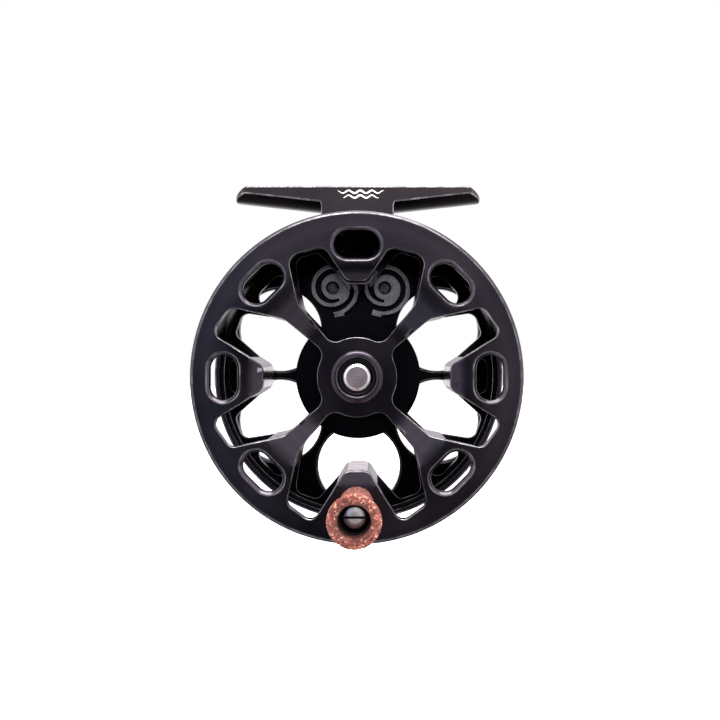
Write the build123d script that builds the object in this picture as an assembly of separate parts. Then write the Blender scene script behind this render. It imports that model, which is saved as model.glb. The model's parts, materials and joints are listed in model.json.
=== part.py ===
from build123d import *
import os
from math import atan, cos, degrees, radians, sin, sqrt

os.makedirs("parts", exist_ok=True)

# A click-and-pawl fly reel, in millimetres.
# Everything is drawn about the spool's axis: X runs along the rod, Z is up, and Y is the depth behind the
# spool's front face. save() then moves it so that the middle of the foot's saddle is the origin.

# ---------------------------------------------------------------- where the reel sits
FOOT_TOP = 48.3              # top edges of the foot above the spool's axis
FOOT_FRONT, FOOT_BACK = 6.5, 19.5
SADDLE_R = 12.0              # hollow of the foot that takes the rod's blank
FOOT_MID = (FOOT_FRONT + FOOT_BACK) / 2
SADDLE_DROP = SADDLE_R - sqrt(SADDLE_R**2 - ((FOOT_BACK - FOOT_FRONT) / 2) ** 2)

# ---------------------------------------------------------------- spool
RIM_R = 41.0                 # outside of the palming rim
RIM_WALL = 1.6
RIM_DEPTH = 5.0
RIM_CHAMFER = 0.75
WEB = 2.2                    # thickness of the front web
DISH_OUT, DISH_IN, DISH_DEPTH = 27.0, 15.3, 3.0
TAB_TIP, TAB_HALF = 23.0, 2.94
HUB_R, BOSS_R, BOSS_FRONT = 10.0, 6.75, 1.9
HUB_BACK = 5.4
POST_R = 26.8                # outside of the line arbor, which is eight posts
FLANGE_R, FLANGE_FRONT, FLANGE_BACK = 36.25, 18.5, 20.0
DRUM_R, DRUM_FRONT = 16.3, 13.5
HUB_TUBE_R = 8.6
SLOT_AT, SLOT_LONG, SLOT_WIDE, SLOT_CHAMFER = 32.7, 11.1, 6.7, 0.75
REAR_SLOT_AT, REAR_SLOT_LONG, REAR_SLOT_WIDE = 32.0, 9.6, 5.4
HANDLE_AT = 30.5             # crank radius, straight down from the axis

# ---------------------------------------------------------------- spindle and bushings
SPINDLE_R, SPINDLE_FRONT = 3.35, 2.0
RUN = 0.06                   # radial clearance of the running fits
BUSH_R = 4.85
CAP_R, CAP_FRONT, CAP_BACK = 4.84, 2.45, 3.6
CLIP_R, CLIP_GROOVE_R = 4.4, 2.9
SEAT_FRONT = 22.5

# ---------------------------------------------------------------- click gear and springs
TEETH = 60
GEAR_R, GEAR_ROOT = 16.6, 15.75
GEAR_FRONT, GEAR_BACK = 20.6, 22.4
GEAR_SCREW_AT = 11.5
SPRING_X, SPRING_Z = 7.1, 23.9
SPRING_FRONT, SPRING_BACK = 21.0, 22.2
SPRING_HOLE_R = 1.16
DISC_EDGE = (3.3, 3.12, 3.1, 3.42, 3.88, 4.3, 4.7, 5.05)   # radius at each eighth of a turn from the root
ARM_START, ARM_END, ARM_WIDE = 4.45, 7.02, 1.2
ARM_ROOT = -60.0             # angle where the arm leaves its disc
ARM_TURN = 374.0             # degrees the arm winds round its disc
HOOK_LONG, HOOK_DEEP = 2.8, 1.7
SPRING_TURN = 31.0           # how far the right spring is turned against the left one

# ---------------------------------------------------------------- frame
PLATE_FRONT, PLATE_BACK, PLATE_R = 23.0, 25.5, 39.1
LIP_R, LIP_FRONT = 37.65, 19.8
WALL_OUT, WALL_IN, WALL_FRONT = 39.0, 37.6, 3.4
WALL_FROM, WALL_TO = 14.0, 166.0
PORT_R, PORT_AT = 11.3, 25.0
PORT_ANGLES = (30, 150, 210, 270, 330)
REAR_BOSS_R, REAR_BOSS_BACK = 9.0, 27.4

# ---------------------------------------------------------------- foot
FOOT_HALF, FOOT_CORNER = 31.75, 28.6
PEDESTAL_HALF = 9.2
UNDER_R, UNDER_END, UNDER_MID = 13.5, 2.9, 5.4
FOOT_SCREW_X = 5.2

# ---------------------------------------------------------------- handle
GRIP_TIP, GRIP_BASE = -22.0, -1.3
GRIP_TIP_R, GRIP_BASE_R = 6.13, 4.1
SLEEVE_R, SLEEVE_MOUTH_R, SLEEVE_TIP = 3.7, 3.4, -17.8
POST_PIN_R, POST_PIN_TIP = 2.0, -15.4
SCREW_HEAD_R, SCREW_HEAD_TIP = 2.62, -17.1


# ---------------------------------------------------------------- helpers
def facing(depth):
    """Plane at a depth, looked at from the front: its x is X and its y is Z."""
    return Plane(origin=(0, depth, 0), x_dir=(1, 0, 0), z_dir=(0, -1, 0))


def slab(sketch, front, back):
    """Sketch drawn as seen from the front, made solid between two depths."""
    return extrude(facing(back) * sketch, amount=back - front)


def turned(*points):
    """Solid turned about the spool's axis from (radius, depth) corners."""
    return revolve(make_face(Polyline(*points, close=True)), Axis.Y, 360)


def disc(radius, front, back):
    return slab(Circle(radius), front, back)


def tube(outer, inner, front, back):
    return slab(Circle(outer) - Circle(inner), front, back)


def polar(radius, angle):
    return (radius * cos(radians(angle)), radius * sin(radians(angle)))


def soften(face, corners):
    """Round the corners of a flat outline: each entry is (x, y, radius)."""
    for x, y, radius in corners:
        near = face.vertices().sort_by_distance(Vector(x, y, 0))[0]
        face = fillet(near, radius)
    return face


def save(name, shape):
    """Write one sub-part in the reel's own frame, with its origin on the foot."""
    shift = Location((0, -FOOT_MID, -(FOOT_TOP - SADDLE_DROP)))
    parts = [shift * s for s in shape.solids()]
    out = parts[0] if len(parts) == 1 else Compound(children=parts)
    export_step(out, f"parts/{name}.step")


# ---------------------------------------------------------------- spool
def heart(corner_a, corner_b, shoulder, tip, tip_half, hub, rounds):
    """Half windows either side of a tab that points at the axis, drawn for the tab along +X.

    corner_a and corner_b are the outer corners, shoulder the corner by the spoke, and hub the radius that
    closes the window towards the axis.
    """
    foot = polar(hub, 37.0)
    side = [(tip, tip_half), corner_a, corner_b, shoulder, foot]
    mirrored = [(x, -y) for x, y in reversed(side)]
    edge = Polyline(*mirrored, *side)
    face = make_face([edge, ThreePointArc(foot, (hub, 0), (foot[0], -foot[1]))])
    for (x, y), radius in zip(side, rounds):
        face = soften(face, [(x, y, radius), (x, -y, radius)])
    return face


def front_windows():
    """The four heart windows of the front web. The top one is smaller, to balance the handle."""
    plain = heart((35.6, 10.9), (31.0, 17.2), (18.0, 14.4), TAB_TIP, TAB_HALF, HUB_R,
                  (2.4, 2.2, 2.2, 3.0, 3.0))
    small = heart((32.0, 8.1), (29.6, 16.9), (18.0, 14.4), TAB_TIP + 0.7, TAB_HALF - 0.4, HUB_R,
                  (2.4, 2.6, 2.8, 3.0, 3.0))
    return [Rot(0, 0, a) * plain for a in (0, 180, 270)] + [Rot(0, 0, 90) * small]


def rear_windows():
    plain = heart((33.3, 11.0), (31.2, 17.0), (18.4, 15.0), TAB_TIP, 1.9, DRUM_R - 0.8,
                  (1.2, 2.0, 2.4, 2.0, 0.8))
    return [Rot(0, 0, a) * plain for a in (0, 90, 180, 270)]


def slot(at, long, wide, angle):
    """One slot of the ring, lying along the rim."""
    return Rot(0, 0, angle) * Pos(at, 0) * Rot(0, 0, 90) * SlotOverall(long, wide)


def slots(at, long, wide):
    return [slot(at, long, wide, a) for a in range(0, 360, 45) if a != 270]


def hub_boss():
    """Low round-shouldered boss in the middle of the web."""
    flat = BOSS_R - 1.5
    edge = [Line((BUSH_R - 1.0, DISH_DEPTH + 0.5), (BUSH_R - 1.0, BOSS_FRONT)),
            Line((BUSH_R - 1.0, BOSS_FRONT), (flat, BOSS_FRONT)),
            ThreePointArc((flat, BOSS_FRONT), (BOSS_R - 0.5, BOSS_FRONT + 0.32), (BOSS_R, DISH_DEPTH)),
            Line((BOSS_R, DISH_DEPTH), (BOSS_R, DISH_DEPTH + 0.5)),
            Line((BOSS_R, DISH_DEPTH + 0.5), (BUSH_R - 1.0, DISH_DEPTH + 0.5))]
    return revolve(make_face(edge), Axis.Y, 360)


def front_web():
    """Ring, dish, spokes and tabs, with the palming rim's skirt."""
    web = turned((BUSH_R - 1.0, DISH_DEPTH), (DISH_IN, DISH_DEPTH), (DISH_OUT, 0),
                 (RIM_R - RIM_CHAMFER, 0), (RIM_R, RIM_CHAMFER),
                 (RIM_R, RIM_DEPTH - 0.3), (RIM_R - 0.3, RIM_DEPTH), (RIM_R - RIM_WALL, RIM_DEPTH),
                 (RIM_R - RIM_WALL, WEB), (DISH_OUT - 0.9, WEB), (DISH_IN - 0.9, HUB_BACK),
                 (BUSH_R - 1.0, HUB_BACK)) + hub_boss()
    for window in front_windows():
        web -= slab(window, -1, HUB_BACK + 1)
    for cut in slots(SLOT_AT, SLOT_LONG, SLOT_WIDE):
        web -= slab(cut, -1, WEB + 1)
    for a in range(0, 360, 45):
        if a != 270:
            wide = slot(SLOT_AT, SLOT_LONG + 2 * SLOT_CHAMFER, SLOT_WIDE + 2 * SLOT_CHAMFER, a)
            web -= loft([facing(0) * wide, facing(SLOT_CHAMFER) * slot(SLOT_AT, SLOT_LONG, SLOT_WIDE, a)])
    return web


def arbor():
    """Eight posts that join the web to the rear flange, and carry the line."""
    ring = Circle(POST_R) - Circle(TAB_TIP - 1.5)
    for window in front_windows()[:3]:
        ring -= window
    ring -= Rot(0, 0, 90) * front_windows()[0]
    return slab(ring, 1.9, FLANGE_FRONT + 0.5)


def rear_web():
    web = disc(FLANGE_R, FLANGE_FRONT, FLANGE_BACK)
    for cut in rear_windows() + slots(REAR_SLOT_AT, REAR_SLOT_LONG, REAR_SLOT_WIDE):
        web -= slab(cut, FLANGE_FRONT - 1, FLANGE_BACK + 1)
    return web


def spool():
    body = front_web() + arbor() + rear_web()
    body += disc(DRUM_R, DRUM_FRONT, FLANGE_BACK) + disc(DRUM_R - 2.2, FLANGE_BACK - 0.5, GEAR_FRONT)
    body += disc(HUB_TUBE_R, 4.0, DRUM_FRONT + 0.5)
    body -= disc(BUSH_R + 0.01, -1, GEAR_FRONT + 1)
    body -= turned((0, BOSS_FRONT - 0.1), (BUSH_R + 0.25, BOSS_FRONT - 0.1), (BUSH_R, BOSS_FRONT + 0.15),
                   (0, BOSS_FRONT + 0.15))
    for x, z in screw_ring():
        body -= Pos(x, 0, z) * disc(0.85, GEAR_FRONT - 5.2, GEAR_FRONT + 1)
    body -= Pos(0, 0, -HANDLE_AT) * disc(1.6, -1, WEB + 1)
    return body


def screw_ring():
    return [polar(GEAR_SCREW_AT, a) for a in (45, 135, 225, 315)]


# ---------------------------------------------------------------- hub fittings
def hub_cap():
    """Dark ring pressed into the boss round the spindle's end."""
    bore = SPINDLE_R + 0.5
    return turned((bore, CAP_FRONT + 0.3), (bore + 0.3, CAP_FRONT), (CAP_R - 0.2, CAP_FRONT),
                  (CAP_R, CAP_FRONT + 0.2), (CAP_R, CAP_BACK), (bore, CAP_BACK))


def front_bushing():
    return tube(BUSH_R, SPINDLE_R + RUN, 5.0, 10.0)


def rear_bushing():
    return tube(BUSH_R, SPINDLE_R + RUN, 14.6, GEAR_FRONT)


def retaining_clip():
    """Open spring clip in the spindle's groove, that keeps the spool on."""
    ring = Circle(CLIP_R) - Circle(CLIP_GROOVE_R) - Pos(CLIP_R / 2 + 1, 0) * Rectangle(CLIP_R + 2, 3.2)
    return slab(ring, 3.9, 4.7)


# ---------------------------------------------------------------- click gear
def click_gear():
    """Thin gear on the spool's back, with pointed click teeth."""
    step = 360 / TEETH
    corners = []
    for tooth in range(TEETH):
        corners += [polar(GEAR_ROOT, step * (tooth - 0.42)), polar(GEAR_R, step * (tooth - 0.12)),
                    polar(GEAR_R, step * (tooth + 0.12)), polar(GEAR_ROOT, step * (tooth + 0.42))]
    blank = make_face(Polyline(*corners, close=True)) - Circle(BUSH_R + 1.2)
    gear = slab(blank, GEAR_FRONT, GEAR_BACK)
    for x, z in screw_ring():
        gear -= Pos(x, 0, z) * disc(0.95, GEAR_FRONT - 1, GEAR_BACK + 1)
        gear -= Pos(x, 0, z) * turned((0, GEAR_BACK + 0.05), (1.75, GEAR_BACK + 0.05),
                                      (0.9, GEAR_BACK - 0.85), (0, GEAR_BACK - 0.85))
    return gear


def gear_screws():
    screws = []
    for x, z in screw_ring():
        screw = turned((0, GEAR_BACK), (1.6, GEAR_BACK), (0.8, GEAR_BACK - 0.8), (0.8, GEAR_BACK - 6.4),
                       (0, GEAR_BACK - 6.4))
        screw -= slab(RegularPolygon(0.7, 6), GEAR_BACK - 0.7, GEAR_BACK + 1)
        screws.append(Pos(x, 0, z) * screw)
    return Compound(children=[s.solid() for s in screws])


# ---------------------------------------------------------------- click springs
def arm_point(turn, offset):
    """Point of the spiral arm's edge, turn degrees on from its root under the disc."""
    radius = ARM_START + (ARM_END - ARM_START) * turn / ARM_TURN + offset
    return polar(radius, ARM_ROOT - turn)


def click_spring():
    """Flat spiral spring whose end rides on the gear, drawn about its own screw."""
    half = ARM_WIDE / 2
    turns = [(ARM_TURN + 3) * i / 16 - 3 for i in range(17)]
    outer = Spline(*[arm_point(t, half) for t in turns])
    inner = Spline(*[arm_point(t, -half) for t in turns])
    arm = make_face([outer, inner, Line(outer @ 0, inner @ 0), Line(outer @ 1, inner @ 1)])
    sweep = 360 / (len(DISC_EDGE) - 1)
    edge = Spline(*[polar(r, ARM_ROOT - sweep * i) for i, r in enumerate(DISC_EDGE)])
    middle = make_face([edge, Line(edge @ 1, edge @ 0)])
    hook = Rot(0, 0, ARM_ROOT - ARM_TURN - 2) * Pos(ARM_END + 0.25, 0) * Rectangle(HOOK_DEEP, HOOK_LONG)
    spring = slab(middle, SPRING_FRONT, SPRING_BACK)
    for piece in (arm, hook):
        spring += slab(piece, SPRING_FRONT, SPRING_BACK)
    return spring - disc(SPRING_HOLE_R, SPRING_FRONT - 1, SPRING_BACK + 1)


def left_click_spring():
    return Pos(-SPRING_X, 0, SPRING_Z) * click_spring()


def right_click_spring():
    return Pos(SPRING_X, 0, SPRING_Z) * Rot(0, SPRING_TURN, 0) * click_spring()


def click_screws():
    """Button screws through the middle of the two springs."""
    screw = turned((0, 20.35), (1.1, 20.35), (1.8, 20.75), (1.8, SPRING_FRONT - 0.02),
                   (1.1, SPRING_FRONT - 0.02), (1.1, PLATE_BACK - 0.4), (0, PLATE_BACK - 0.4))
    screw -= slab(RegularPolygon(0.8, 6), 20.0, 21.2)
    return Compound(children=[(Pos(x, 0, SPRING_Z) * screw).solid() for x in (-SPRING_X, SPRING_X)])


def click_spacers():
    """Washers that hold the springs clear of the plate."""
    ring = tube(2.9, 1.15, SPRING_BACK + 0.02, PLATE_FRONT)
    return Compound(children=[(Pos(x, 0, SPRING_Z) * ring).solid() for x in (-SPRING_X, SPRING_X)])


# ---------------------------------------------------------------- frame
def sector(radius, start, end):
    """Wedge of a disc between two angles, for a span under half a turn."""
    middle = (start + end) / 2
    return make_face([ThreePointArc(polar(radius, start), polar(radius, middle), polar(radius, end)),
                      Line(polar(radius, end), (0, 0)), Line((0, 0), polar(radius, start))])


def frame_cage():
    """Back plate with its lip, and the wall that wraps the top of the spool."""
    cage = turned((0, PLATE_FRONT), (LIP_R, PLATE_FRONT), (LIP_R, LIP_FRONT), (PLATE_R - 0.3, LIP_FRONT),
                  (PLATE_R, LIP_FRONT + 0.3), (PLATE_R, PLATE_BACK - 0.8), (PLATE_R - 0.8, PLATE_BACK),
                  (0, PLATE_BACK))
    wall = sector(WALL_OUT, WALL_FROM, WALL_TO) - Circle(WALL_IN)
    cage += slab(wall, WALL_FRONT, PLATE_FRONT + 0.5)
    cage += turned((0, PLATE_BACK - 0.5), (REAR_BOSS_R + 1.6, PLATE_BACK), (REAR_BOSS_R, REAR_BOSS_BACK),
                   (0, REAR_BOSS_BACK))
    for angle in PORT_ANGLES:
        x, z = polar(PORT_AT, angle)
        cage -= Pos(x, 0, z) * disc(PORT_R, PLATE_FRONT - 1, REAR_BOSS_BACK + 1)
        cage -= Pos(x, 0, z) * turned((0, PLATE_FRONT), (PORT_R + 0.4, PLATE_FRONT),
                                      (PORT_R, PLATE_FRONT + 0.4), (0, PLATE_FRONT + 0.4))
    cage -= disc(3.0, SEAT_FRONT - 1, REAR_BOSS_BACK + 1) + disc(4.6, REAR_BOSS_BACK - 1.2, REAR_BOSS_BACK + 1)
    for x in (-SPRING_X, SPRING_X):
        cage -= Pos(x, 0, SPRING_Z) * disc(1.1, PLATE_FRONT - 1, PLATE_BACK + 1)
    for x in (-FOOT_SCREW_X, FOOT_SCREW_X):
        cage -= Pos(x, FOOT_MID, 0) * countersunk(0.05, 1.0)
    return cage


def countersunk(slack, below):
    """Flat-headed screw pointing up, its head flush with the inside of the wall, or the hole for it."""
    seat = sqrt(WALL_IN**2 - FOOT_SCREW_X**2) + 0.15
    profile = Polyline((0, seat - below), (2.1 + slack, seat - below), (2.1 + slack, seat + 0.1),
                       (1.2 + slack, seat + 0.9), (1.2 + slack, seat + 5.4), (0, seat + 5.4), close=True)
    return revolve(make_face(Plane.XZ * profile), Axis.Z, 360)


def foot_screws():
    socket = Pos(0, 0, 37.0) * extrude(RegularPolygon(1.0, 6), amount=1.0)
    screw = countersunk(0.0, 0.0) - socket
    return Compound(children=[(Pos(x, FOOT_MID, 0) * screw).solid() for x in (-FOOT_SCREW_X, FOOT_SCREW_X)])


def spindle():
    """Fixed shaft the spool turns on, screwed to the back plate from behind."""
    shaft = turned((0, SPINDLE_FRONT + 0.35), (0.9, SPINDLE_FRONT), (SPINDLE_R - 0.7, SPINDLE_FRONT),
                   (SPINDLE_R, SPINDLE_FRONT + 0.5), (SPINDLE_R, 3.85), (CLIP_GROOVE_R, 3.85),
                   (CLIP_GROOVE_R, 4.75), (SPINDLE_R, 4.75), (SPINDLE_R, SEAT_FRONT), (5.6, SEAT_FRONT),
                   (5.6, PLATE_FRONT), (2.98, PLATE_FRONT), (2.98, PLATE_BACK), (0, PLATE_BACK))
    return shaft - disc(1.5, PLATE_BACK - 8, PLATE_BACK + 1)


def spindle_screw():
    screw = turned((0, REAR_BOSS_BACK - 0.1), (3.6, REAR_BOSS_BACK - 0.1), (4.1, REAR_BOSS_BACK - 0.5),
                   (4.1, REAR_BOSS_BACK - 1.0), (2.6, REAR_BOSS_BACK - 1.0), (2.6, PLATE_BACK + 0.1),
                   (1.45, PLATE_BACK + 0.1), (1.45, PLATE_BACK - 6), (0, PLATE_BACK - 6))
    return screw - slab(RegularPolygon(1.7, 6), REAR_BOSS_BACK - 1.2, REAR_BOSS_BACK + 1)


def spindle_washer():
    return tube(4.3, 2.7, REAR_BOSS_BACK - 1.2, REAR_BOSS_BACK - 1.0)


# ---------------------------------------------------------------- foot
def foot_half(side):
    """One arm of the foot, curved across and thinning to its end."""
    lean = (UNDER_MID - UNDER_END) / (FOOT_HALF - PEDESTAL_HALF)
    low = FOOT_TOP - UNDER_MID - lean * PEDESTAL_HALF
    block = foot_plan() & Pos(side * 50, 0, 0) * Box(100, 100, 100)
    under = Rot(0, -side * degrees(atan(lean)), 0) * Rot(0, 90, 0) * Cylinder(UNDER_R, 120)
    return block & Pos(0, FOOT_MID, low + UNDER_R) * under


def pedestal():
    """Block between the foot and the frame's wall, waisted at the sides."""
    top, foot = FOOT_TOP - 2.9, 37.2
    flare = 1.6
    side = [(PEDESTAL_HALF + flare, top), (PEDESTAL_HALF, top - 2.2), (PEDESTAL_HALF, foot)]
    edge = [Line(side[2], side[1]), ThreePointArc(side[1], (side[1][0] + 0.42, top - 0.75), side[0]),
            Line(side[0], (-side[0][0], top)),
            ThreePointArc((-side[0][0], top), (-side[1][0] - 0.42, top - 0.75), (-side[1][0], side[1][1])),
            Line((-side[1][0], side[1][1]), (-side[2][0], foot)), Line((-side[2][0], foot), side[2])]
    return slab(make_face(edge), FOOT_FRONT, FOOT_BACK) - disc(WALL_OUT, 0, 30)


def foot_plan():
    """Outline of the foot from above, with rounded ends."""
    half = (FOOT_BACK - FOOT_FRONT) / 2
    outline = make_face([
        Line((-FOOT_CORNER, -half), (FOOT_CORNER, -half)),
        ThreePointArc((FOOT_CORNER, -half), (FOOT_HALF, 0), (FOOT_CORNER, half)),
        Line((FOOT_CORNER, half), (-FOOT_CORNER, half)),
        ThreePointArc((-FOOT_CORNER, half), (-FOOT_HALF, 0), (-FOOT_CORNER, -half))])
    outline = soften(outline, [(sx * FOOT_CORNER, sy * half, 2.6) for sx in (-1, 1) for sy in (-1, 1)])
    return Pos(0, FOOT_MID, 30) * extrude(outline, amount=FOOT_TOP - 30)


def reel_foot():
    foot = foot_half(1) + foot_half(-1) + pedestal()
    saddle = Rot(0, 90, 0) * Cylinder(SADDLE_R, 120)
    foot -= Pos(0, FOOT_MID, FOOT_TOP - SADDLE_DROP + SADDLE_R) * saddle
    for x in (-FOOT_SCREW_X, FOOT_SCREW_X):
        foot -= Pos(x, FOOT_MID, 0) * Pos(0, 0, 30) * Cylinder(1.25, 26)
    return foot


# ---------------------------------------------------------------- handle
def at_handle(shape):
    return Pos(0, 0, -HANDLE_AT) * shape


def handle_grip():
    """Cork grip, flared towards its tip, with a wide mouth."""
    span = GRIP_TIP - GRIP_BASE
    curve = Spline((GRIP_BASE_R, GRIP_BASE - 0.6), (GRIP_BASE_R + 0.15, GRIP_BASE + span * 0.3),
                   (GRIP_BASE_R + 0.95, GRIP_BASE + span * 0.65), (GRIP_TIP_R, GRIP_TIP + 1.0))
    edge = [Polyline((SLEEVE_R, GRIP_BASE), (GRIP_BASE_R - 0.3, GRIP_BASE), (GRIP_BASE_R, GRIP_BASE - 0.6)),
            curve,
            ThreePointArc((GRIP_TIP_R, GRIP_TIP + 1.0), (GRIP_TIP_R - 0.3, GRIP_TIP + 0.25),
                          (GRIP_TIP_R - 1.0, GRIP_TIP)),
            Line((GRIP_TIP_R - 1.0, GRIP_TIP), (SLEEVE_R, GRIP_TIP)),
            Line((SLEEVE_R, GRIP_TIP), (SLEEVE_R, GRIP_BASE))]
    return at_handle(revolve(make_face(edge), Axis.Y, 360))


def handle_sleeve():
    """Dark liner of the grip: it turns on the post and is kept by the screw's head."""
    bore = POST_PIN_R + RUN
    return at_handle(turned((bore, GRIP_BASE + 0.1), (SLEEVE_R, GRIP_BASE + 0.1), (SLEEVE_R, SLEEVE_TIP),
                            (SLEEVE_MOUTH_R, SLEEVE_TIP), (SLEEVE_MOUTH_R - 0.3, POST_PIN_TIP + 0.3),
                            (bore, POST_PIN_TIP + 0.3)))


def handle_post():
    """Shouldered pin pressed into the tab."""
    pin = turned((0, POST_PIN_TIP), (POST_PIN_R, POST_PIN_TIP), (POST_PIN_R, -0.9), (3.4, -0.9), (3.4, 0),
                 (1.58, 0), (1.58, WEB + 0.4), (0, WEB + 0.4))
    return at_handle(pin - disc(1.1, POST_PIN_TIP - 1, -6))


def handle_nut():
    """Low nut behind the tab, on the post's end."""
    return at_handle(slab(RegularPolygon(3.0, 6) - Circle(1.6), WEB, WEB + 1.4))


def handle_screw():
    """Slotted screw seen down the grip's mouth."""
    screw = turned((0, SCREW_HEAD_TIP), (SCREW_HEAD_R - 0.2, SCREW_HEAD_TIP),
                   (SCREW_HEAD_R, SCREW_HEAD_TIP + 0.2), (SCREW_HEAD_R, POST_PIN_TIP), (1.08, POST_PIN_TIP),
                   (1.08, -8), (0, -8))
    return at_handle(screw - slab(Rectangle(6, 0.45), SCREW_HEAD_TIP - 1, SCREW_HEAD_TIP + 0.8))


# ---------------------------------------------------------------- write the sub-parts
PARTS = (
    frame_cage, reel_foot, foot_screws, spindle, spindle_screw, spindle_washer, click_screws, click_spacers,
    left_click_spring, right_click_spring, spool, click_gear, gear_screws, hub_cap, front_bushing,
    rear_bushing, retaining_clip, handle_post, handle_nut, handle_screw, handle_sleeve, handle_grip,
)

for make in PARTS:
    save(make.__name__, make())
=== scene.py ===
"""Looks of a click-and-pawl fly reel: anodised spool and cage, cork grip, spiral click springs.

Everything is in metres in the row frame: X along the rod, Y from the handle side to the back plate, Z up,
with the origin on the reel foot's saddle. The spool turns about a line parallel to Y.
"""

from __future__ import annotations

import json
import logging
import math
from dataclasses import dataclass, field
from enum import Enum
from typing import Optional, Sequence

import bmesh
import bpy
import numpy as np
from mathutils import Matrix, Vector

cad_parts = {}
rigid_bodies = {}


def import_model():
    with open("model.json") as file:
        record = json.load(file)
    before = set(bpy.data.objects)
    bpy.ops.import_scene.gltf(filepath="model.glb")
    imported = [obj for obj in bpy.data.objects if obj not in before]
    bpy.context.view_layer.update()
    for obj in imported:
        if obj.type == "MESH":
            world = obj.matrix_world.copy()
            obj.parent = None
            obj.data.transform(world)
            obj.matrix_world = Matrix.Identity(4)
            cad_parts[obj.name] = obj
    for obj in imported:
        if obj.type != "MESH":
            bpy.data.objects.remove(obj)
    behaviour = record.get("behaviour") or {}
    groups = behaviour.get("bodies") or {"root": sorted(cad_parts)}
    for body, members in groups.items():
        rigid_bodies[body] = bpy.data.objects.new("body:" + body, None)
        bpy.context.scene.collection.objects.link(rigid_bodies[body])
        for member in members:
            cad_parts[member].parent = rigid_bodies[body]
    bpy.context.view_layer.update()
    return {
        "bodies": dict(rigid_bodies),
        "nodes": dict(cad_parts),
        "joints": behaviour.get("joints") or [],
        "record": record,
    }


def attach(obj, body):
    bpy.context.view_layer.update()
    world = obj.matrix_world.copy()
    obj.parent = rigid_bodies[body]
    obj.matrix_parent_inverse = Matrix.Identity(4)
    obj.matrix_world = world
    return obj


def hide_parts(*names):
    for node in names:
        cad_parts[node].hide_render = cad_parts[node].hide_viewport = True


LOG = logging.getLogger("fly_reel")
MM = 0.001

Triple = tuple[float, float, float]
Colour = Triple
Rows = tuple[Triple, ...]
ORIGIN = (0.0, 0.0, 0.0)


class Body(Enum):
    """Moving bodies of the reel."""

    FRAME = "frame"
    SPOOL = "spool"
    HANDLE = "handle"
    LEFT_CLICK = "left_click"
    RIGHT_CLICK = "right_click"


class Slot(Enum):
    """Paintable surfaces of the reel."""

    FRAME_ALLOY = "frame_alloy"
    SPOOL_ALLOY = "spool_alloy"
    GEAR_ALLOY = "gear_alloy"
    SPINDLE_STEEL = "spindle_steel"
    SPRING_STEEL = "spring_steel"
    DARK_SCREWS = "dark_screws"
    BRIGHT_SCREWS = "bright_screws"
    BLACK_POLYMER = "black_polymer"
    CORK = "cork"


class Noise(Enum):
    """How a noise pattern is read."""

    ONE_AXIS = "1D"
    SOLID = "3D"


@dataclass(frozen=True)
class ReelFrame:
    """Where the reel's main lines lie in the row frame, in metres."""

    axis_z: float = -46.3868 * MM
    face_y: float = -13.0 * MM
    crank: float = 30.5 * MM

    def depth(self, mm: float) -> float:
        """Row y of a depth in millimetres behind the spool's front face."""
        return self.face_y + mm * MM

    def height(self, mm: float) -> float:
        """Row z of a height in millimetres above the spool's axis."""
        return self.axis_z + mm * MM


REEL = ReelFrame()


# ------------------------------------------------------------------------------------------ meshes
def new_object(name: str, points: np.ndarray, quads: np.ndarray, smooth: bool = True) -> bpy.types.Object:
    """Put whole arrays of points and four-sided faces into a new object.

    Args:
        name: object and mesh name.
        points: (n, 3) positions in metres.
        quads: (m, 4) corner numbers, outwards by the right-hand rule.
        smooth: shade smooth.

    Returns:
        The object, at the origin.
    """
    mesh = bpy.data.meshes.new(name)
    mesh.vertices.add(len(points))
    mesh.vertices.foreach_set("co", points.astype(np.float32).ravel())
    mesh.loops.add(quads.size)
    mesh.loops.foreach_set("vertex_index", quads.astype(np.int32).ravel())
    mesh.polygons.add(len(quads))
    mesh.polygons.foreach_set("loop_start", np.arange(0, quads.size, 4, dtype=np.int32))
    mesh.update(calc_edges=True)
    mesh.polygons.foreach_set("use_smooth", np.full(len(quads), smooth))
    mesh.validate()
    made = bpy.data.objects.new(name, mesh)
    bpy.context.scene.collection.objects.link(made)
    return made


def grid_quads(rows: int, columns: int, wrap_rows: bool, wrap_columns: bool) -> np.ndarray:
    """Four-sided faces of a grid of points, row by row.

    Args:
        rows: points along the first parameter.
        columns: points along the second parameter.
        wrap_rows: join the last row to the first.
        wrap_columns: join the last column to the first.

    Returns:
        (m, 4) corner numbers.
    """
    i = np.arange(rows if wrap_rows else rows - 1)
    j = np.arange(columns if wrap_columns else columns - 1)
    i, j = np.meshgrid(i, j, indexing="ij")
    down, right = (i + 1) % rows, (j + 1) % columns
    quads = np.stack([i * columns + j, down * columns + j, down * columns + right, i * columns + right], -1)
    return quads.reshape(-1, 4)


def outward(points: np.ndarray, quads: np.ndarray) -> np.ndarray:
    """Turn a closed surface's faces outwards.

    The signed volume is the sum over faces of corner a dotted with (b - a) x (c - a) and its other half.

    Args:
        points: (n, 3) positions.
        quads: (m, 4) corner numbers.

    Returns:
        The faces, reversed if the volume they close is negative.
    """
    a, b, c, d = (points[quads[:, k]] for k in range(4))
    volume = np.einsum("ij,ij->", a, np.cross(b, c)) + np.einsum("ij,ij->", a, np.cross(c, d))
    return quads if volume > 0 else quads[:, ::-1]


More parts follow.
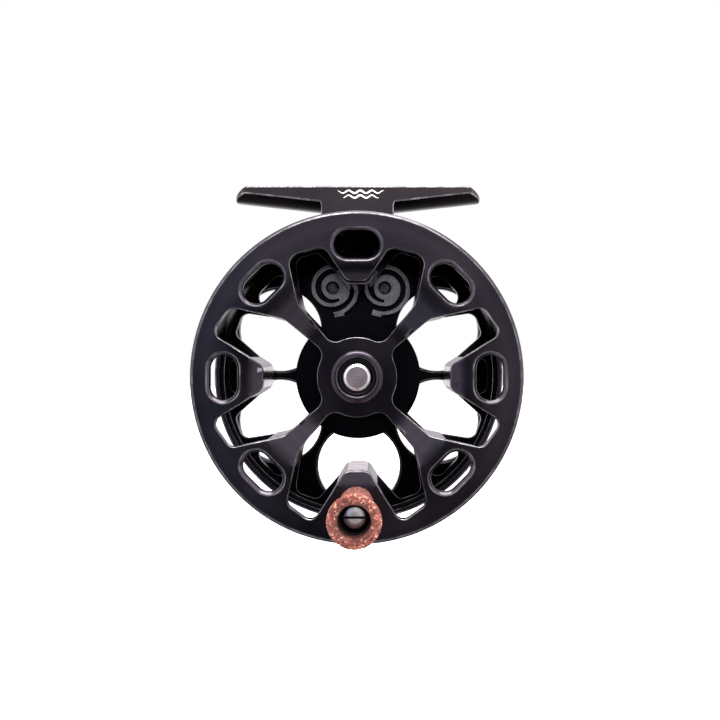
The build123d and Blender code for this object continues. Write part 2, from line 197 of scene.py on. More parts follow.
def rounded_profile(corners: Sequence[tuple[float, float, float]], steps: int = 4) -> np.ndarray:
    """Closed outline of straight runs and round corners.

    Each corner (x, y, radius) becomes a quadratic curve between the points one radius before and after it:
    (1 - t)^2 times the first, 2 t (1 - t) times the corner and t^2 times the last.

    Args:
        corners: corners in order, each with its radius, in millimetres.
        steps: points on each round corner.

    Returns:
        (n, 2) outline in metres.
    """
    points = np.array([c[:2] for c in corners], float)
    before = np.roll(points, 1, axis=0) - points
    after = np.roll(points, -1, axis=0) - points
    t = np.linspace(0, 1, steps)[:, None]
    out = []
    for corner, back, ahead, (_, _, radius) in zip(points, before, after, corners):
        if radius <= 0:
            out.append(corner[None])
            continue
        reach_a = min(radius, np.linalg.norm(back) * 0.49)
        reach_b = min(radius, np.linalg.norm(ahead) * 0.49)
        first = corner + back / np.linalg.norm(back) * reach_a
        last = corner + ahead / np.linalg.norm(ahead) * reach_b
        out.append((1 - t) ** 2 * first + 2 * t * (1 - t) * corner + t**2 * last)
    return np.concatenate(out) * MM


def dense(outline: np.ndarray, longest: float) -> np.ndarray:
    """Closed outline with its long runs divided, so that smooth shading has something to hold on to.

    Args:
        outline: (n, 2) points in metres.
        longest: longest run left, in metres.

    Returns:
        The outline with more points on its runs.
    """
    nexts = np.roll(outline, -1, axis=0)
    out = []
    for a, b in zip(outline, nexts):
        count = max(1, int(math.ceil(np.linalg.norm(b - a) / longest)))
        out.append(a + (b - a) * np.arange(count)[:, None] / count)
    return np.concatenate(out)


def turned_piece(name: str, outline: np.ndarray, centre_z: float, around: int) -> bpy.types.Object:
    """Piece turned on a lathe about a line parallel to Y, straight above or below the origin.

    A point (r, y) of the closed outline goes to (r cos a, y, z0 + r sin a) for each angle a.

    Args:
        name: object name.
        outline: (n, 2) closed outline of radius and y, in metres.
        centre_z: z of the turning line.
        around: divisions of the full turn.

    Returns:
        The closed, smooth piece.
    """
    angle = np.linspace(0, 2 * np.pi, around, endpoint=False)
    radius, depth = np.maximum(outline[:, 0], 1e-6), outline[:, 1]
    points = np.stack([radius[:, None] * np.cos(angle),
                       np.broadcast_to(depth[:, None], (len(radius), around)),
                       centre_z + radius[:, None] * np.sin(angle)], -1).reshape(-1, 3)
    quads = outward(points, grid_quads(len(radius), around, True, True))
    return new_object(name, points, quads)


def value_noise(points: np.ndarray, pitch: float, seed: float) -> np.ndarray:
    """Smooth random value at each point, between 0 and 1.

    Each corner of a cubic lattice gets the fraction of 43758.5453 sin(12.99 i + 78.23 j + 37.72 k + seed),
    and the eight corners round a point are blended with the weights 3 t^2 - 2 t^3.

    Args:
        points: (n, 3) positions in metres.
        pitch: lattice spacing in metres.
        seed: number that picks the pattern.

    Returns:
        (n,) values.
    """
    cell = np.floor(points / pitch)
    t = points / pitch - cell
    t = t * t * (3 - 2 * t)
    corners = np.stack(np.meshgrid([0, 1], [0, 1], [0, 1], indexing="ij"), -1).reshape(-1, 3)
    at = cell[:, None, :] + corners
    chance = np.sin(at @ np.array([12.9898, 78.233, 37.719]) + seed) * 43758.5453
    chance -= np.floor(chance)
    weight = np.prod(np.where(corners == 1, t[:, None, :], 1 - t[:, None, :]), axis=2)
    return (chance * weight).sum(axis=1)


def face_array(mesh: bpy.types.Mesh, fact: str) -> np.ndarray:
    """One vector for each face of a mesh: its "normal" or its "center"."""
    values = np.empty(len(mesh.polygons) * 3, np.float32)
    mesh.polygons.foreach_get(fact, values)
    return values.reshape(-1, 3)


def between(values: np.ndarray, limits: tuple[float, float]) -> np.ndarray:
    """Which values lie between two limits."""
    return (values > limits[0]) & (values < limits[1])


def crease(piece: bpy.types.Object, angle: float) -> None:
    """Shade smooth, and keep edges sharper than an angle hard.

    Args:
        piece: mesh object.
        angle: limit in degrees.
    """
    piece.data.polygons.foreach_set("use_smooth", np.ones(len(piece.data.polygons), bool))
    piece.data.set_sharp_from_angle(angle=math.radians(angle))
    piece.data.update()


# ------------------------------------------------------------------------------------ node writing
class Nodes:
    """Writes nodes into one tree."""

    def __init__(self, tree: bpy.types.NodeTree) -> None:
        """Keep the tree and empty it.

        Args:
            tree: material, world or group tree.
        """
        self.tree = tree
        tree.nodes.clear()

    def add(self, kind: str, **settings: object) -> bpy.types.Node:
        """New node.

        Args:
            kind: Blender's node type.
            settings: attributes to set on it.

        Returns:
            The node.
        """
        node = self.tree.nodes.new(kind)
        for key, value in settings.items():
            setattr(node, key, value)
        return node

    def wire(self, source: bpy.types.NodeSocket, target: bpy.types.NodeSocket) -> None:
        """Link an output to an input."""
        self.tree.links.new(source, target)

    def feed(self, target: bpy.types.NodeSocket, value: object) -> None:
        """Link or set an input.

        Args:
            target: the input.
            value: an output socket, a number or a tuple.
        """
        if isinstance(value, bpy.types.NodeSocket):
            self.wire(value, target)
        else:
            target.default_value = value

    def maths(self, operation: str, first: object, second: object = 0.0, third: object = 0.0,
              clamp: bool = False) -> bpy.types.NodeSocket:
        """Math node.

        Args:
            operation: Blender's name of the operation.
            first: first input.
            second: second input.
            third: third input.
            clamp: clamp the result to 0..1.

        Returns:
            Its output.
        """
        node = self.add("ShaderNodeMath", operation=operation, use_clamp=clamp)
        for socket, value in zip(node.inputs, (first, second, third)):
            self.feed(socket, value)
        return node.outputs[0]

    def vector(self, operation: str, first: object, second: object = (0.0, 0.0, 0.0)) -> bpy.types.Node:
        """Vector Math node.

        Args:
            operation: Blender's name of the operation.
            first: first input.
            second: second input.

        Returns:
            The node.
        """
        node = self.add("ShaderNodeVectorMath", operation=operation)
        self.feed(node.inputs[0], first)
        self.feed(node.inputs[1], second)
        return node

    def noise(self, where: object, scale: float, detail: float = 2.0, reading: Noise = Noise.SOLID,
              roughness: float = 0.5) -> bpy.types.NodeSocket:
        """Noise texture's value.

        Args:
            where: coordinates, or a number when it is read along one axis.
            scale: scale of the pattern, per metre.
            detail: octaves.
            reading: solid, or along one axis.
            roughness: weight of the small octaves.

        Returns:
            Value around 0.5.
        """
        node = self.add("ShaderNodeTexNoise", noise_dimensions=reading.value)
        self.feed(node.inputs["W" if reading is Noise.ONE_AXIS else "Vector"], where)
        self.feed(node.inputs["Scale"], scale)
        node.inputs["Detail"].default_value = detail
        node.inputs["Roughness"].default_value = roughness
        return node.outputs["Fac"]

    def spread(self, value: object, low: float, high: float, to_low: float = 0.0,
               to_high: float = 1.0) -> bpy.types.NodeSocket:
        """Map a value's range to another one, clamped.

        Args:
            value: input.
            low: value mapped to to_low.
            high: value mapped to to_high.
            to_low: result at low.
            to_high: result at high.

        Returns:
            The mapped value.
        """
        node = self.add("ShaderNodeMapRange", clamp=True)
        for socket, setting in zip(node.inputs[:5], (value, low, high, to_low, to_high)):
            self.feed(socket, setting)
        return node.outputs[0]

    def off_line(self, where: object, centre: object) -> bpy.types.NodeSocket:
        """Offset of a place from the line through centre along Y."""
        offset = self.vector("SUBTRACT", where, centre).outputs[0]
        return self.vector("MULTIPLY", offset, (1.0, 0.0, 1.0)).outputs[0]

    def length(self, offset: object) -> bpy.types.NodeSocket:
        """Length of a vector."""
        return self.vector("LENGTH", offset).outputs["Value"]

    def mix(self, share: object, first: object, second: object) -> bpy.types.NodeSocket:
        """Mix two colours.

        Args:
            share: weight of the second.
            first: socket or colour.
            second: socket or colour.

        Returns:
            The mixed colour.
        """
        node = self.add("ShaderNodeMix", data_type="RGBA", blend_type="MIX")
        self.feed(node.inputs[0], share)
        self.feed(node.inputs[6], rgba(first))
        self.feed(node.inputs[7], rgba(second))
        return node.outputs[2]

    def ramp(self, value: object, stops: Sequence[tuple[float, Colour]]) -> bpy.types.NodeSocket:
        """Colour ramp.

        Args:
            value: place on the ramp.
            stops: positions and colours in order.

        Returns:
            The colour.
        """
        node = self.add("ShaderNodeValToRGB")
        while len(node.color_ramp.elements) < len(stops):
            node.color_ramp.elements.new(0.5)
        for element, (place, colour) in zip(node.color_ramp.elements, stops):
            element.position = place
            element.color = (*colour, 1.0)
        self.feed(node.inputs[0], value)
        return node.outputs[0]


def rgba(colour: object) -> object:
    """Give a three-part colour its alpha, and pass a socket on."""
    return (*colour, 1.0) if isinstance(colour, tuple) and len(colour) == 3 else colour


class Effect:
    """Shared shader groups that give masks and heights."""

    def __init__(self) -> None:
        """Build each group once."""
        self.turning = self._turning()
        self.cloud = self._cloud()
        self.grain = self._grain()
        self.dust = self._dust()
        self.hairlines = self._hairlines()
        self.inner_shade = self._inner_shade()

    @staticmethod
    def _group(name: str, inputs: dict[str, object],
               outputs: Sequence[str]) -> tuple[Nodes, bpy.types.Node, bpy.types.Node]:
        """Start a group whose outputs are all plain values.

        Args:
            name: group name.
            inputs: name and default of each input, a number or a vector.
            outputs: name of each output.

        Returns:
            Its writer, input node and output node.
        """
        tree = bpy.data.node_groups.new(name, "ShaderNodeTree")
        writer = Nodes(tree)
        for label, default in inputs.items():
            kind = "NodeSocketVector" if isinstance(default, tuple) else "NodeSocketFloat"
            socket = tree.interface.new_socket(label, in_out="INPUT", socket_type=kind)
            socket.default_value = default
        for label in outputs:
            tree.interface.new_socket(label, in_out="OUTPUT", socket_type="NodeSocketFloat")
        return writer, writer.add("NodeGroupInput"), writer.add("NodeGroupOutput")

    def _turning(self) -> bpy.types.NodeTree:
        """Fine rings a lathe leaves: noise read along the distance from the turning line."""
        w, given, out = self._group("turning_marks", {"Vector": ORIGIN, "Centre": ORIGIN, "Rings": 4000.0},
                                    ("Height", "Bands"))
        radius = w.length(w.off_line(given.outputs["Vector"], given.outputs["Centre"]))
        along = w.maths("MULTIPLY", radius, given.outputs["Rings"])
        w.wire(w.noise(along, 1.0, 3.0, Noise.ONE_AXIS, 0.7), out.inputs["Height"])
        w.wire(w.spread(w.noise(along, 0.07, 2.0, Noise.ONE_AXIS), 0.3, 0.7), out.inputs["Bands"])
        return w.tree

    def _cloud(self) -> bpy.types.NodeTree:
        """Slow drift in colour and sheen over a surface."""
        w, given, out = self._group("slow_cloud", {"Vector": ORIGIN, "Size": 60.0}, ("Cloud",))
        drift = w.noise(given.outputs["Vector"], given.outputs["Size"], 3.0)
        w.wire(w.spread(drift, 0.3, 0.7), out.inputs["Cloud"])
        return w.tree

    def _grain(self) -> bpy.types.NodeTree:
        """Bead-blasted grain under an anodised skin."""
        w, given, out = self._group("blasted_grain", {"Vector": ORIGIN, "Fineness": 9000.0},
                                    ("Height", "Speckle"))
        fine = w.noise(given.outputs["Vector"], given.outputs["Fineness"], 2.0, roughness=0.6)
        w.wire(fine, out.inputs["Height"])
        w.wire(w.spread(fine, 0.35, 0.65), out.inputs["Speckle"])
        return w.tree

    @staticmethod
    def _thinned(w: Nodes, given: bpy.types.Node, marks: object, pitch: float, low: float,
                 high: float) -> bpy.types.NodeSocket:
        """Marks kept only where a slow noise is high, times the group's Amount.

        Args:
            w: the group's writer.
            given: its input node.
            marks: mask of the marks.
            pitch: scale of the slow noise, per metre.
            low: noise below which there is no mark.
            high: noise above which the marks are whole.

        Returns:
            The mask.
        """
        rare = w.spread(w.noise(given.outputs["Vector"], pitch, 1.0), low, high)
        return w.maths("MULTIPLY", w.maths("MULTIPLY", marks, rare), given.outputs["Amount"], clamp=True)

    def _dust(self) -> bpy.types.NodeTree:
        """Sparse light specks of dust: small cells of a Voronoi pattern, thinned by a slow noise."""
        w, given, out = self._group("dust_specks", {"Vector": ORIGIN, "Amount": 0.3}, ("Mask",))
        cells = w.add("ShaderNodeTexVoronoi", feature="F1")
        w.wire(given.outputs["Vector"], cells.inputs["Vector"])
        cells.inputs["Scale"].default_value = 900.0
        near = w.spread(cells.outputs["Distance"], 0.05, 0.16, 1.0, 0.0)
        w.wire(self._thinned(w, given, near, 260.0, 0.58, 0.72), out.inputs["Mask"])
        return w.tree

    def _hairlines(self) -> bpy.types.NodeTree:
        """Long faint handling scratches: noise stretched along one way and cut to thin lines."""
        w, given, out = self._group("handling_hairlines", {"Vector": ORIGIN, "Amount": 0.5}, ("Mask",))
        turn = w.add("ShaderNodeMapping")
        turn.inputs["Rotation"].default_value = (0.0, 0.7, 0.0)
        turn.inputs["Scale"].default_value = (40.0, 40.0, 2600.0)
        w.wire(given.outputs["Vector"], turn.inputs["Vector"])
        from_middle = w.maths("ABSOLUTE", w.maths("SUBTRACT", w.noise(turn.outputs[0], 1.0, 1.0), 0.5))
        thin = w.spread(from_middle, 0.0, 0.012, 1.0, 0.0)
        w.wire(self._thinned(w, given, thin, 120.0, 0.55, 0.7), out.inputs["Mask"])
        return w.tree

    def _inner_shade(self) -> bpy.types.NodeTree:
        """Painted shade: a mask that turns deep black inside the reel, behind the web, in front of the
        plate's back, and within the rim.
        """
        w, given, out = self._group("inner_shade", {"Vector": ORIGIN}, ("Mask",))
        parts = w.add("ShaderNodeSeparateXYZ")
        w.wire(given.outputs["Vector"], parts.inputs[0])
        behind = w.spread(parts.outputs["Y"], REEL.depth(4.0), REEL.depth(9.0))
        ahead = w.spread(parts.outputs["Y"], REEL.depth(24.3), REEL.depth(25.0), 1.0, 0.0)
        radius = w.length(w.off_line(given.outputs["Vector"], (0.0, 0.0, REEL.axis_z)))
        within = w.spread(radius, 37.2 * MM, 37.6 * MM, 1.0, 0.0)
        w.wire(w.maths("MULTIPLY", w.maths("MULTIPLY", behind, ahead), within), out.inputs["Mask"])
        return w.tree


class Coat:
    """One material being written, with short ways to lay things on its shader."""

    def __init__(self, name: str, effect: Effect) -> None:
        """Start a material with a Principled BSDF and object coordinates.

        Args:
            name: material name.
            effect: shared groups.
        """
        self.material = bpy.data.materials.new(name)
        self.material.use_nodes = True
        self.effect = effect
        self.w = Nodes(self.material.node_tree)
        self.shader = self.w.add("ShaderNodeBsdfPrincipled")
        out = self.w.add("ShaderNodeOutputMaterial")
        self.w.wire(self.shader.outputs[0], out.inputs["Surface"])
        self.where = self.w.add("ShaderNodeTexCoord").outputs["Object"]

    def read(self, group: bpy.types.NodeTree, **values: object) -> bpy.types.bpy_prop_collection:
        """Lay a shared group over the piece.

        Args:
            group: one of the shared groups.
            values: its inputs by name.

        Returns:
            Its outputs.
        """
        node = self.w.add("ShaderNodeGroup")
        node.node_tree = group
        self.w.wire(self.where, node.inputs["Vector"])
        for key, value in values.items():
            self.w.feed(node.inputs[key], value)
        return node.outputs

    def put(self, **inputs: object) -> None:
        """Feed inputs of the shader, whose names have underscores for spaces."""
        for key, value in inputs.items():
            self.w.feed(self.shader.inputs[key.replace("_", " ")], rgba(value))

    def bump(self, height: object, distance: float) -> None:
        """Feed a height into the shader's normal.

        Args:
            height: height socket.
            distance: height in metres of a step of one.
        """
        node = self.w.add("ShaderNodeBump")
        node.inputs["Strength"].default_value = 1.0
        node.inputs["Distance"].default_value = distance
        self.w.feed(node.inputs["Height"], height)
        self.put(Normal=node.outputs["Normal"])


# ---------------------------------------------------------------------------------------- finishes
@dataclass(frozen=True)
class Finish:
    """What every finish has: a name, and its own way to coat a material."""

    name: str

    def lay(self, coat: Coat) -> None:
        """Write the finish's nodes."""
        raise NotImplementedError(self.name)


@dataclass(frozen=True)
class Anodised(Finish):
    """Dyed anodised aluminium, satin, with turning rings under the dye."""

    dark: Colour = (0.032, 0.028, 0.036)
    light: Colour = (0.054, 0.047, 0.057)
    scratch: Colour = (0.12, 0.11, 0.12)
    dust: Colour = (0.22, 0.21, 0.21)
    # inside is the colour of the painted shade deep inside the reel, and shade is how far the skin goes
    # towards it.
    inside: Colour = (0.002, 0.002, 0.003)
    roughness: float = 0.21
    rings: float = 5200.0
    centre: Triple = (0.0, 0.0, REEL.axis_z)
    ring_height: float = 1.2
    dusty: float = 0.08
    handled: float = 0.28
    shade: float = 0.8

    def lay(self, coat: Coat) -> None:
        """Clouded and ringed dye with grain, hairlines and dust, with painted shade going black inside the
        reel.

        Args:
            coat: the material being written.
        """
        w, effect = coat.w, coat.effect
        turning = coat.read(effect.turning, Centre=self.centre, Rings=self.rings)
        cloud = coat.read(effect.cloud, Size=55.0)["Cloud"]
        grain = coat.read(effect.grain, Fineness=11000.0)
        dust = coat.read(effect.dust, Amount=self.dusty)["Mask"]
        lines = coat.read(effect.hairlines, Amount=self.handled)["Mask"]
        deep = coat.read(effect.inner_shade)["Mask"]
        tone = w.maths("ADD", w.maths("MULTIPLY", cloud, 0.6), w.maths("MULTIPLY", turning["Bands"], 0.4))
        colour = w.mix(tone, self.dark, self.light)
        colour = w.mix(w.maths("MULTIPLY", grain["Speckle"], 0.22), colour, self.light)
        colour = w.mix(dust, w.mix(lines, colour, self.scratch), self.dust)
        # Painted shade: darken towards the inside colour in the reel's recesses.
        colour = w.mix(w.maths("MULTIPLY", deep, self.shade), colour, self.inside)
        rough = w.maths("MULTIPLY_ADD", cloud, 0.08, self.roughness - 0.04)
        rough = w.maths("MULTIPLY_ADD", turning["Height"], 0.05, rough)
        coat.put(Base_Color=colour,
                 Roughness=w.maths("MULTIPLY_ADD", dust, 0.4, rough, clamp=True),
                 Metallic=w.maths("MULTIPLY_ADD", dust, -0.8, 1.0))
        rise = w.maths("MULTIPLY", turning["Height"], self.ring_height)
        coat.bump(w.maths("MULTIPLY_ADD", grain["Height"], 0.8, rise), 1e-6)


@dataclass(frozen=True)
class WearAndHighlight(Finish):
    """Brighter metal for broken edges, chamfers, post faces and window walls: partly edge wear, partly
    painted highlight and painted reflection.
    """

    dark: Colour = (0.16, 0.155, 0.165)
    light: Colour = (0.42, 0.41, 0.42)
    roughness: float = 0.27
    grain: float = 1e-6

    def lay(self, coat: Coat) -> None:
        """Rubbed and unrubbed patches over fine grain.

        Args:
            coat: the material being written.
        """
        w = coat.w
        rub = w.spread(w.noise(coat.where, 340.0, 3.0, roughness=0.6), 0.42, 0.68)
        coat.put(Base_Color=w.mix(rub, self.dark, self.light), Metallic=1.0,
                 Roughness=w.spread(rub, 0.0, 1.0, self.roughness + 0.08, self.roughness))
        coat.bump(coat.read(coat.effect.grain, Fineness=9000.0)["Height"], self.grain)


@dataclass(frozen=True)
class TurnedSteel(Finish):
    """Bright turned steel with its tool marks."""

    dark: Colour = (0.10, 0.085, 0.095)
    light: Colour = (0.30, 0.27, 0.285)
    scratch: Colour = (0.8, 0.79, 0.78)
    roughness: float = 0.30
    rings: float = 9000.0
    centre: Triple = (0.0, 0.0, REEL.axis_z)
    depth: float = 3e-6
    dome: float = 0.0

    def lay(self, coat: Coat) -> None:
        """Rings and clouds of grey, on a face that swells by dome r^2 / 2 towards its middle.

        Args:
            coat: the material being written.
        """
        w, effect = coat.w, coat.effect
        ring = coat.read(effect.turning, Centre=self.centre, Rings=self.rings)["Height"]
        cloud = coat.read(effect.cloud, Size=400.0)["Cloud"]
        lines = coat.read(effect.hairlines, Amount=0.6)["Mask"]
        tone = w.maths("ADD", w.maths("MULTIPLY", ring, 0.7), w.maths("MULTIPLY", cloud, 0.3), clamp=True)
        colour = w.mix(w.spread(tone, 0.25, 0.75), self.dark, self.light)
        coat.put(Base_Color=w.mix(lines, colour, self.scratch), Metallic=1.0,
                 Roughness=w.spread(tone, 0.2, 0.8, self.roughness + 0.08, self.roughness - 0.05))
        flat = w.off_line(coat.where, self.centre)
        swell = w.maths("MULTIPLY", w.vector("DOT_PRODUCT", flat, flat).outputs["Value"], -0.5 * self.dome)
        coat.bump(w.maths("MULTIPLY_ADD", ring, self.depth, swell), 1.0)


@dataclass(frozen=True)
class SpringSteel(Finish):
    """Stamped spring steel, satin grey, with a faint speckle from tumbling."""

    dark: Colour = (0.12, 0.118, 0.124)
    light: Colour = (0.36, 0.355, 0.37)
    scratch: Colour = (0.36, 0.35, 0.36)
    roughness: float = 0.45

    def lay(self, coat: Coat) -> None:
        """Speckle and cloud of grey with a few hairlines.

        Args:
            coat: the material being written.
        """
        w, effect = coat.w, coat.effect
        grain = coat.read(effect.grain, Fineness=2600.0)
        cloud = coat.read(effect.cloud, Size=220.0)["Cloud"]
        lines = coat.read(effect.hairlines, Amount=0.5)["Mask"]
        tone = w.maths("ADD", w.maths("MULTIPLY", grain["Speckle"], 0.55), w.maths("MULTIPLY", cloud, 0.45))
        coat.put(Base_Color=w.mix(lines, w.mix(tone, self.dark, self.light), self.scratch), Metallic=1.0,
                 Roughness=w.spread(tone, 0.0, 1.0, self.roughness + 0.06, self.roughness - 0.06))
        coat.bump(grain["Height"], 3e-6)


@dataclass(frozen=True)
class Polymer(Finish):
    """Moulded black acetal, matt, with a fine moulding texture."""

    dark: Colour = (0.003, 0.003, 0.0035)
    light: Colour = (0.006, 0.006, 0.007)
    dust: Colour = (0.06, 0.06, 0.055)
    roughness: float = 0.5

    def lay(self, coat: Coat) -> None:
        """Clouded black with specks of dust.

        Args:
            coat: the material being written.
        """
        w, effect = coat.w, coat.effect
        cloud = coat.read(effect.cloud, Size=180.0)["Cloud"]
        dust = coat.read(effect.dust, Amount=0.3)["Mask"]
        coat.put(Base_Color=w.mix(dust, w.mix(cloud, self.dark, self.light), self.dust),
                 Specular_IOR_Level=0.22,
                 Roughness=w.spread(cloud, 0.0, 1.0, self.roughness - 0.06, self.roughness + 0.08))
        coat.bump(coat.read(effect.grain, Fineness=5000.0)["Height"], 4e-6)


@dataclass(frozen=True)
class Cork(Finish):
    """Cork composite: rust, orange and cream chips pressed together, matt and slightly open."""

    chip: float = 2300.0
    chips: tuple[tuple[float, Colour], ...] = (
        (0.0, (0.022, 0.003, 0.002)), (0.26, (0.060, 0.008, 0.004)), (0.42, (0.13, 0.019, 0.010)),
        (0.57, (0.24, 0.048, 0.026)), (0.72, (0.42, 0.13, 0.080)), (1.0, (0.90, 0.55, 0.42)))
    crumb: Colour = (0.060, 0.010, 0.006)
    seam: Colour = (0.025, 0.005, 0.003)
    pale: Colour = (0.45, 0.25, 0.18)
    # Painted shade round the bore: its colour, and the radii over which it fades out.
    bore_shade: Colour = (0.020, 0.004, 0.003)
    bore_shade_radii: tuple[float, float] = (3.7 * MM, 5.2 * MM)

    def lay(self, coat: Coat) -> None:
        """Warped Voronoi chips in rust to cream, with crumbs, dark seams, and painted shade round the bore.

        Args:
            coat: the material being written.
        """
        w, where = coat.w, coat.where
        warp = w.add("ShaderNodeTexNoise", noise_dimensions="3D")
        w.wire(where, warp.inputs["Vector"])
        warp.inputs["Scale"].default_value = 900.0
        swing = w.vector("SUBTRACT", warp.outputs["Color"], (0.5, 0.5, 0.5)).outputs[0]
        push = w.vector("MULTIPLY", swing, (0.9 * MM, 0.9 * MM, 0.9 * MM)).outputs[0]
        chips = w.add("ShaderNodeTexVoronoi", feature="F1")
        w.wire(w.vector("ADD", where, push).outputs[0], chips.inputs["Vector"])
        chips.inputs["Scale"].default_value = self.chip
        pick = w.vector("DOT_PRODUCT", chips.outputs["Color"], (0.45, 0.35, 0.2)).outputs["Value"]
        fine = w.noise(where, 5200.0, 3.0, roughness=0.65)
        colour = w.ramp(pick, self.chips)
        colour = w.mix(w.spread(fine, 0.35, 0.7), w.mix(0.6, colour, self.crumb), colour)
        seams = w.spread(w.noise(where, 2100.0, 2.0), 0.60, 0.72)
        colour = w.mix(w.maths("MULTIPLY", seams, 0.75), colour, self.seam)
        pale = coat.read(coat.effect.cloud, Size=300.0)["Cloud"]
        colour = w.mix(w.maths("MULTIPLY", pale, 0.08), colour, self.pale)
        # Painted shade: darker towards the bore, where the grip's mouth falls in shadow.
        radius = w.length(w.off_line(where, (0.0, 0.0, REEL.axis_z - REEL.crank)))
        unshaded = w.spread(radius, *self.bore_shade_radii, 0.35, 1.0)
        coat.put(Base_Color=w.mix(unshaded, w.mix(0.75, colour, self.bore_shade), colour),
                 Roughness=w.spread(fine, 0.3, 0.7, 0.72, 0.88))
        height = w.maths("SUBTRACT", w.maths("ADD", fine, w.maths("MULTIPLY", pick, 0.5)),
                         w.maths("MULTIPLY", seams, 1.2))
        coat.bump(height, 1.6e-4)


@dataclass(frozen=True)
class Paint(Finish):
    """Thin white marking ink."""

    colour: Colour = (0.82, 0.81, 0.80)
    worn: Colour = (0.55, 0.54, 0.54)

    def lay(self, coat: Coat) -> None:
        """White with a worn speckle.

        Args:
            coat: the material being written.
        """
        w = coat.w
        speckle = coat.read(coat.effect.grain, Fineness=7000.0)["Speckle"]
        coat.put(Base_Color=w.mix(w.maths("MULTIPLY", speckle, 0.25), self.colour, self.worn),
                 Roughness=w.spread(speckle, 0.0, 1.0, 0.5, 0.65))


@dataclass(frozen=True)
class PaleFloor(Finish):
    """Seamless pale floor."""

    low: Colour = (0.93, 0.93, 0.93)
    high: Colour = (0.95, 0.95, 0.95)

    def lay(self, coat: Coat) -> None:
        """Near white, with a faint glow that keeps shadows soft.

        Args:
            coat: the material being written.
        """
        cloud = coat.read(coat.effect.cloud, Size=4.0)["Cloud"]
        coat.put(Base_Color=coat.w.mix(cloud, self.low, self.high), Roughness=0.9, Specular_IOR_Level=0.1,
                 Emission_Color=(1.0, 1.0, 1.0), Emission_Strength=0.25)


@dataclass
class Wardrobe:
    """All finishes of the reel, built once."""

    effect: Effect
    made: dict[str, bpy.types.Material] = field(default_factory=dict)

    def get(self, finish: Finish) -> bpy.types.Material:
        """Material of a finish, built the first time it is asked for.

        Args:
            finish: one of the finishes below.

        Returns:
            Its material.
        """
        if finish.name not in self.made:
            coat = Coat(finish.name, self.effect)
            finish.lay(coat)
            self.made[finish.name] = coat.material
        return self.made[finish.name]


SPOOL_SKIN = Anodised("spool_skin")
CAGE_SKIN = Anodised("cage_skin", dark=(0.024, 0.023, 0.028), light=(0.050, 0.046, 0.052), rings=3600.0)
FOOT_SKIN = Anodised("foot_skin", dark=(0.024, 0.021, 0.024), light=(0.055, 0.048, 0.051), rings=900.0,
                     centre=(0.0, 0.0, 5.0), ring_height=1.0)
GEAR_SKIN = Anodised("gear_skin", dark=(0.020, 0.020, 0.023), light=(0.035, 0.034, 0.038), rings=7000.0)
# Edge finishes: brighter bevels, partly edge wear, partly painted highlight.
EDGE = WearAndHighlight("edge_wear_and_highlight", dark=(0.06, 0.058, 0.064), light=(0.17, 0.165, 0.17))
FOOT_EDGE = WearAndHighlight("foot_edge", dark=(0.12, 0.115, 0.12), light=(0.36, 0.35, 0.36))
# Painted reflection: the window walls get a brighter, smoother copy of the skin for the white background
# they reflect at a grazing angle.
WALL_PAINTED_REFLECTION = WearAndHighlight("wall_painted_reflection", dark=(0.050, 0.047, 0.054), light=(0.085, 0.080, 0.090), roughness=0.2,
                    grain=1e-7)
# Painted highlight: the spindle's end chamfer is a much brighter copy of its steel.
SPINDLE_RIM = WearAndHighlight("spindle_rim", dark=(0.46, 0.45, 0.45), light=(0.72, 0.71, 0.71), roughness=0.24)
BUTTON_STEEL = SpringSteel("button_steel", dark=(0.008, 0.008, 0.009), light=(0.17, 0.155, 0.165),
                           roughness=0.4)
# Painted reflection: the posts' inner faces are a light grey copy of the black anodised skin, for the white
# background they reflect.
POST_PAINTED_REFLECTION = WearAndHighlight("post_painted_reflection", dark=(0.50, 0.48, 0.49), light=(0.66, 0.64, 0.64), roughness=0.14)
CAP_SKIN = Anodised("cap_skin", dark=(0.010, 0.010, 0.012), light=(0.020, 0.019, 0.022), roughness=0.3)
SPINDLE_STEEL = TurnedSteel("spindle_steel")
SCREW_STEEL = TurnedSteel("screw_steel", dark=(0.42, 0.40, 0.40), light=(0.72, 0.69, 0.69), rings=5000.0,
                          centre=(0.0, 0.0, REEL.axis_z - REEL.crank), dome=110.0)
DARK_STEEL = SpringSteel("dark_steel", dark=(0.030, 0.029, 0.031), light=(0.060, 0.058, 0.062),
                         roughness=0.36)
SPRING_SKIN = SpringSteel("spring_skin")
# Brighter spring edges: partly edge wear, partly painted highlight.
SPRING_EDGE = WearAndHighlight("spring_edge", dark=(0.30, 0.30, 0.31), light=(0.6, 0.6, 0.61), roughness=0.3)
BLACK_POLYMER = Polymer("black_polymer")
CORK = Cork("cork_composite")
INK = Paint("marking_ink")


